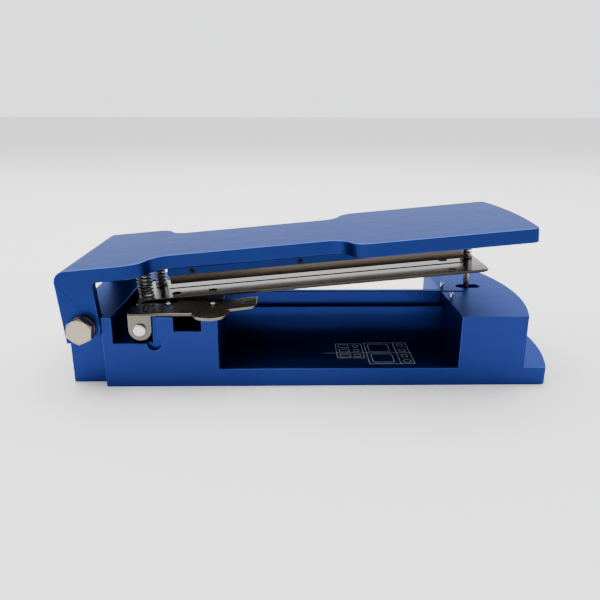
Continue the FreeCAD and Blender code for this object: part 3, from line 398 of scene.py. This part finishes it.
def hexagon_screw(name, across, height, shank, sign, tilt):
    """Hexagon head with turned chamfers and a washer face, on its shank, along sign * Y."""
    corner = across / 2 / cos(radians(30))
    head = bmesh.new()
    for level in (0, height):
        head.faces.new([head.verts.new((corner * cos(radians(60 * i + tilt)) / 1000,
                                        corner * sin(radians(60 * i + tilt)) / 1000,
                                        level / 1000)) for i in range(6)])
    faces = list(head.faces)
    bmesh.ops.bridge_loops(head, edges=[e for f in faces for e in f.edges])
    bmesh.ops.recalc_face_normals(head, faces=head.faces)
    mesh = bpy.data.meshes.new(name)
    head.to_mesh(mesh)
    head.free()
    piece = bpy.data.objects.new(name, mesh)
    bpy.context.scene.collection.objects.link(piece)
    rise = (corner - across / 2 * 0.95) * 0.577
    cone = turned(name + "_chamfer", [(0, 0), (across / 2 * 0.96, 0),
                                      (corner + 0.1, rise + 0.1),
                                      (corner + 0.1, height - rise - 0.1),
                                      (across / 2 * 0.95, height), (0, height)], 96)
    cutter = bpy.data.objects.new(name + "_cutter", cone)
    bpy.context.scene.collection.objects.link(cutter)
    trim = piece.modifiers.new("chamfer", "BOOLEAN")
    trim.operation = "INTERSECT"
    trim.object = cutter
    trim.solver = "EXACT"
    bpy.context.view_layer.update()
    depsgraph = bpy.context.evaluated_depsgraph_get()
    trimmed = bpy.data.meshes.new_from_object(piece.evaluated_get(depsgraph))
    bm = bmesh.new()
    bm.from_mesh(trimmed)
    bm.from_mesh(turned(name + "_shank", shank, 64))
    stand = Matrix.Rotation(radians(90 if sign < 0 else -90), 4, "X")
    bmesh.ops.transform(bm, matrix=stand, verts=bm.verts)
    bm.to_mesh(trimmed)
    bm.free()
    trimmed.shade_smooth()
    trimmed.set_sharp_from_angle(angle=radians(25))
    piece.modifiers.clear()
    piece.data = trimmed
    bpy.data.objects.remove(cutter)
    return piece


# The screw steel's warm, light tone is painted light from above and a painted warm reflection on
# the hexagon head.
screw_warm_painted_reflection = drawn_steel("turned_screw_steel", "#AAA08C", "#8F8674", 0.28)
head_start = 36.3
for side, sign in (("front", -1), ("rear", 1)):
    # The shank runs back from the head: 6 mm of shoulder in the bushing, then the thread.
    shank = [(0, -19.9), (2.6, -19.9), (3.0, -19.5), (3.0, -5.9), (3.5, -5.9), (3.5, 0.3),
             (0, 0.3)]
    screw = hexagon_screw("pivot_screw_%s_turned" % side, 9.4, 4.0, shank, sign, 84)
    screw.data.transform(Matrix.Translation((0, sign * head_start / 1000, 0.025)))
    screw.data.materials.clear()
    screw.data.materials.append(screw_warm_painted_reflection)
    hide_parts("pivot_screw_" + side)
    finished(screw, "base")

# Blade and its bar.  The bar is a flat aluminium strip, dyed with the lever and screwed up under
# it, grooved for the blade.  Three black grub screws in its front edge nip the ground blade.
# The bar's blue is painted darker than the lever's, as painted shade of its place under the lever.
bar_blue_painted_shade = anodised_aluminium("blue_anodised_bar", "#1A2757", "#16214C", 0.40)
holder = broken_edges("blade_holder", [bar_blue_painted_shade], 0.0002)
finished(holder, "lever")
# The blade's warm brown tone is a painted reflection of the warm colours it mirrors.
blade_brown_painted_reflection = drawn_steel("ground_blade_steel", "#8E8071", "#6E6356", 0.45, (0.05, 1.0, 1.0))
blade = broken_edges("blade", [blade_brown_painted_reflection], 0.00008)
finished(blade, "lever")


def socket_screw(name, radius, length, socket, sides=48):
    """Straight screw end with a chamfered rim and a hexagon socket, along +Z from its face
    at 0 down to -length."""
    bm = bmesh.new()

    def ring(reach, height, flats):
        verts = []
        for i in range(sides):
            turn = 2 * pi * i / sides
            scale = 1.0
            if flats:
                scale = cos(pi / 6) / cos((turn % (pi / 3)) - pi / 6)
            verts.append(bm.verts.new((reach * scale * cos(turn) / 1000,
                                       reach * scale * sin(turn) / 1000, height / 1000)))
        return verts

    rings = [ring(radius, -length, False), ring(radius, -0.15, False),
             ring(radius - 0.15, 0, False), ring(socket + 0.08, 0, True),
             ring(socket, -0.08, True), ring(socket, -min(length - 0.3, 1.4), True)]
    bm.faces.new(reversed(rings[0]))
    for low, high in zip(rings, rings[1:]):
        for i in range(sides):
            k = (i + 1) % sides
            bm.faces.new((low[i], low[k], high[k], high[i]))
    bm.faces.new(rings[-1])
    mesh = bpy.data.meshes.new(name)
    bm.to_mesh(mesh)
    bm.free()
    mesh.shade_smooth()
    mesh.set_sharp_from_angle(angle=radians(35))
    return mesh


lever_tilt = radians(5.2264)
pivot = Vector((0, 0, 25.0))


def on_lever(x, y, z):
    """A point of the lever's own drawing, in millimetres, where the open lever holds it."""
    return (pivot.x + x * cos(lever_tilt) - z * sin(lever_tilt), y,
            pivot.z + x * sin(lever_tilt) + z * cos(lever_tilt))


black_oxide = drawn_steel("black_oxide_steel", "#2C2B2B", "#181818", 0.35)
grub_start, grub_pitch, grub_face, grub_height = 42.9, 43.0, -23.0, 15.8
grub_places = [on_lever(grub_start + grub_pitch * i, grub_face, grub_height) for i in range(3)]
grubs = set_out("blade_set_screws_turned", socket_screw("grub_screw", 1.1, 21.9, 0.62),
                grub_places, (radians(90), 0, 0), black_oxide)
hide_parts("blade_set_screws")
finished(grubs, "lever")
bar_screw = socket_screw("bar_screw", 2.75, 2.8, 1.25)
bar_start, bar_length, bar_bottom, bar_screw_line = 33, 124, 14.3, 12
bar_places = [on_lever(bar_start + bar_length * share, y, bar_bottom)
              for share in (1 / 6, 5 / 6) for y in (-bar_screw_line, bar_screw_line)]
bar_screws = set_out("holder_screws_turned", bar_screw, bar_places,
                     (pi, -lever_tilt, 0), black_oxide)
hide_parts("holder_screws")
finished(bar_screws, "lever")

# Guide posts.  Two turned steel posts pressed up into the lever carry the presser on snap rings.
# The right one runs down into the base, where a third ring meets the block and stops the lever.
post_steel = drawn_steel("turned_post_steel", "#8F8B85", "#6B6863", 0.25)
for name in ("guide_post_left", "guide_post_right"):
    finished(broken_edges(name, [post_steel], 0.00015), "lever")
ring_steel = drawn_steel("stamped_ring_steel", "#A7A39C", "#7D7A75", 0.3)
for name in ("presser_ring_left", "presser_ring_right", "stop_ring"):
    finished(broken_edges(name, [ring_steel], 0.0001), "lever")

# Springs.  Coiled from hard drawn wire, with a closed turn at each end.  The largest stands on
# the presser's front left corner, round a stud, and one stands round each guide post: together
# they hold the presser down and lift the lever.


def coil_tree():
    """Node tree that winds a wire: a spiral whose climb is slow in the end turns."""
    tree = bpy.data.node_groups.new("wound_spring", "GeometryNodeTree")
    for label, kind in (("Turns", "NodeSocketFloat"), ("Coil Radius", "NodeSocketFloat"),
                        ("Wire Radius", "NodeSocketFloat"), ("Height", "NodeSocketFloat"),
                        ("Foot", "NodeSocketVector"), ("Lean", "NodeSocketVector"),
                        ("Material", "NodeSocketMaterial")):
        tree.interface.new_socket(label, in_out="INPUT", socket_type=kind)
    tree.interface.new_socket("Spring", in_out="OUTPUT", socket_type="NodeSocketGeometry")
    given = add_node(tree, "NodeGroupInput").outputs
    spiral = add_node(tree, "GeometryNodeCurveSpiral", {"Resolution": 22, "Height": 0.0}, {
        "Rotations": given["Turns"], "Start Radius": given["Coil Radius"],
        "End Radius": given["Coil Radius"]})
    share = add_node(tree, "GeometryNodeSplineParameter").outputs["Factor"]
    climb = add_node(tree, "ShaderNodeFloatCurve", links={"Value": share})
    curve = climb.mapping.curves[0]
    curve.points[0].location = (0.0, 0.0)
    curve.points[1].location = (1.0, 1.0)
    for along, up in ((0.11, 0.045), (0.89, 0.955)):
        curve.points.new(along, up)
    for point in curve.points:
        point.handle_type = "VECTOR"
    climb.mapping.update()
    room = add_node(tree, "ShaderNodeMath", {"operation": "MULTIPLY_ADD", 1: -2.0},
                    {0: given["Wire Radius"], 2: given["Height"]})
    lift = add_node(tree, "ShaderNodeMath", {"operation": "MULTIPLY_ADD"}, {
        0: climb.outputs["Value"], 1: room.outputs["Value"], 2: given["Wire Radius"]})
    up = add_node(tree, "ShaderNodeCombineXYZ", links={"Z": lift.outputs["Value"]})
    wound = add_node(tree, "GeometryNodeSetPosition", links={
        "Geometry": spiral.outputs["Curve"], "Offset": up.outputs["Vector"]})
    section = add_node(tree, "GeometryNodeCurvePrimitiveCircle", {"Resolution": 10},
                       {"Radius": given["Wire Radius"]})
    wire = add_node(tree, "GeometryNodeCurveToMesh", {"Fill Caps": True}, {
        "Curve": wound.outputs["Geometry"], "Profile Curve": section.outputs["Curve"]})
    stood = add_node(tree, "GeometryNodeTransform", links={
        "Geometry": wire.outputs["Mesh"], "Translation": given["Foot"],
        "Rotation": given["Lean"]})
    real = add_node(tree, "GeometryNodeRealizeInstances",
                    links={"Geometry": stood.outputs["Geometry"]})
    faced = add_node(tree, "GeometryNodeSetMaterial", links={
        "Geometry": real.outputs["Geometry"], "Material": given["Material"]})
    add_node(tree, "NodeGroupOutput", links={"Spring": faced.outputs["Geometry"]})
    return tree


spring_steel = drawn_steel("drawn_spring_wire", "#8C867B", "#665F55", 0.32)
winding = coil_tree()
lever_up = Vector((-sin(lever_tilt), 0, cos(lever_tilt)))
stand_height = 14.2
presser_top = 3.05
# Turns, coil and wire radius, place on the lever, and the height that is left of it at the limit.
springs = {
    "lift_spring": (10.5, 2.83, 0.37, (20.3, -11.5), 0.74),
    "presser_spring_left": (11.0, 2.48, 0.31, (22.4, 7.8), 0.76),
    "presser_spring_right": (11.0, 2.48, 0.31, (160.1, 7.8), 0.50),
}
for name, (turns, coil, wire, (x, y), keep) in springs.items():
    seed_mesh = bpy.data.meshes.new(name + "_wound")
    spring = bpy.data.objects.new(name + "_wound", seed_mesh)
    bpy.context.scene.collection.objects.link(spring)
    wind = spring.modifiers.new("wind", "NODES")
    wind.node_group = winding
    values = {"Turns": turns, "Coil Radius": coil / 1000, "Wire Radius": wire / 1000,
              "Height": stand_height / 1000, "Foot": Vector(on_lever(x, y, presser_top)) / 1000,
              "Lean": (0, -lever_tilt, 0), "Material": spring_steel}
    for socket in winding.interface.items_tree:
        if socket.in_out == "INPUT":
            wind[socket.identifier] = values[socket.name]
    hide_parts(name)
    finished(spring, "lever")
    spring.data.shade_smooth()
    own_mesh(spring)
stud = broken_edges("lift_stud", [post_steel], 0.0004)
finished(stud, "lever")

# Presser.  A 1.2 mm plate of bright-rolled stainless steel, laser cut, with a slot for the blade
# and holes that drop over the pins.  Its faces shine, and their steel is painted a dark warm grey
# as a painted reflection of the shaded lever underside above it.  Its side walls are painted a
# darker brown still, as a painted dark reflection on the walls.
presser_painted_dark_reflection = drawn_steel("bright_rolled_stainless", "#77726A", "#5F5A52", 0.20, (0.04, 1.0, 1.0))
wall_painted_dark_reflection = drawn_steel("laser_cut_wall", "#4B453D", "#2F2A25", 0.42)
cut_edge = drawn_steel("laser_cut_edge", "#8F8A82", "#6F6A62", 0.3)
presser = broken_edges("presser_plate", [presser_painted_dark_reflection, wall_painted_dark_reflection, cut_edge], 0.00018)
finished(presser, "presser")
# Faces standing across the lever's up direction are the side walls; they take the painted dark
# reflection.
for face in presser.data.polygons:
    if face.material_index == 0 and abs(face.normal.dot(lever_up)) < 0.2:
        face.material_index = 1

# Gate.  A 1 mm sheet of the same steel, cut with a thumb lobe, its right end turned up and two
# ears folded down over the hinge block.


gate_top, ramp_start, fold_radius = 30.0, 60.0, 0.75
ear_lines = (-34.2, -20.4)


def ear_fold(a, b):
    """Bend radius of the edge where an ear folds down from the plate, and none elsewhere."""
    level = abs(a.z - b.z) < 0.01 and abs(a.y - b.y) < 0.01
    outer = a.z > gate_top and any(abs(a.y - line) < 0.05 for line in ear_lines)
    return fold_radius if level and outer and max(a.x, b.x) < ramp_start else None


# The gate's steel is painted darker than the presser's, as painted shade: the lever, presser and
# bar shade the gate, and its top reflects that shade.
gate_sheet_painted_shade = drawn_steel("gate_sheet_stainless", "#736E65", "#58534B", 0.24, (1.0, 0.04, 1.0))
gate = broken_edges("gate", [gate_sheet_painted_shade, cut_edge], 0.00015, folds=ear_fold)
finished(gate, "gate_plate")

# Gate hinge.  A small blackened steel block stands in the left well, held from below by one
# screw, and the gate's ears swing on a headed pin through it, kept by a snap ring.
finished(broken_edges("hinge_block", [black_oxide], 0.0003), "base")
head_profile = [(0, 0), (2.0, 0), (2.25, 0.07), (2.4, 0.25), (2.4, 1.2), (1.5, 1.2), (1.5, 16.4),
                (1.2, 16.7), (0, 16.7)]
gate_pin_place = (21.6, -35.5, 23.75)
gate_pin = set_out("gate_pin_turned", turned("gate_pin_shape", head_profile, 56),
                   [gate_pin_place], (radians(-90), 0, 0), pin_steel)
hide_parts("gate_pin")
finished(gate_pin, "base")
finished(broken_edges("gate_pin_ring", [ring_steel], 0.0001), "base")
block_screw_place = (21.6, -26.8, 4.0)
block_screw = set_out("hinge_block_screw_turned", socket_screw("block_screw", 3.5, 4.0, 1.7),
                      [block_screw_place], (pi, 0, 0), black_oxide)
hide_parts("hinge_block_screw")
finished(block_screw, "base")

# Floor, studio light and camera.  A pale table top, a soft box overhead and a weaker one at the
# left, and a camera a little above the lever's height.
reach = 12
floor_mesh = bpy.data.meshes.new("table_top")
floor_mesh.from_pydata([(-reach, -reach, 0), (reach, -reach, 0), (reach, reach, 0),
                        (-reach, reach, 0)], [], [(0, 1, 2, 3)])
floor_material, floor_tree = new_material("matt_white_laminate")
floor_shader = add_node(floor_tree, "ShaderNodeBsdfPrincipled", {
    "Base Color": hex_colour("#F6F6F5"), "Roughness": 0.75})
add_node(floor_tree, "ShaderNodeOutputMaterial", links={"Surface": floor_shader.outputs["BSDF"]})
floor_mesh.materials.append(floor_material)
table_top = bpy.data.objects.new("table_top", floor_mesh)
bpy.context.scene.collection.objects.link(table_top)

# The air of the studio: bright behind and overhead, dimmer on the camera's side.
world = bpy.data.worlds.new("studio_air")
bpy.context.scene.world = world
world.use_nodes = True
air = world.node_tree
air.nodes.clear()
way = add_node(air, "ShaderNodeTexCoord").outputs["Generated"]
sides = add_node(air, "ShaderNodeSeparateXYZ", links={"Vector": way})
depth = add_node(air, "ShaderNodeMapRange", {"interpolation_type": "SMOOTHSTEP",
                                             "From Min": -0.9, "From Max": 0.3,
                                             "To Min": 0.5, "To Max": 2.2},
                 {"Value": sides.outputs["Y"]})
glow = add_node(air, "ShaderNodeBackground", {"Color": hex_colour("#F6F7FB")},
                {"Strength": depth.outputs["Result"]})
add_node(air, "ShaderNodeOutputWorld", links={"Surface": glow.outputs["Background"]})
for name, place, aim, width, length, power in (
        ("overhead_soft_box", (0.05, 0.35, 0.95), (0.09, 0.0, 0.0), 1.4, 0.9, 22.0),
        ("side_fill", (-0.75, -0.45, 0.6), (0.09, 0.0, 0.02), 0.5, 0.5, 3.0)):
    lamp = bpy.data.lights.new(name, "AREA")
    lamp.shape = "RECTANGLE"
    lamp.size = width
    lamp.size_y = length
    lamp.energy = power
    light = bpy.data.objects.new(name, lamp)
    light.location = place
    light.rotation_euler = (Vector(aim) - Vector(place)).to_track_quat("-Z", "Y").to_euler()
    bpy.context.scene.collection.objects.link(light)

pitch, yaw, roll = radians(17.561), radians(1.011), radians(0.139)
forward = Vector((sin(yaw) * cos(pitch), cos(yaw) * cos(pitch), -sin(pitch)))
level_right = Vector((cos(yaw), -sin(yaw), 0))
level_up = level_right.cross(forward)
right = level_right * cos(roll) + level_up * sin(roll)
up = level_up * cos(roll) - level_right * sin(roll)
lens = bpy.data.cameras.new("product_camera")
lens.sensor_width = 36.0
lens.lens = 35.67
camera = bpy.data.objects.new("product_camera", lens)
axes = Matrix((right, up, -forward)).transposed().to_4x4()
eye = Vector((79.971, -251.887, 104.662)) / 1000
camera.matrix_world = Matrix.Translation(eye) @ axes
bpy.context.scene.collection.objects.link(camera)
bpy.context.scene.camera = camera
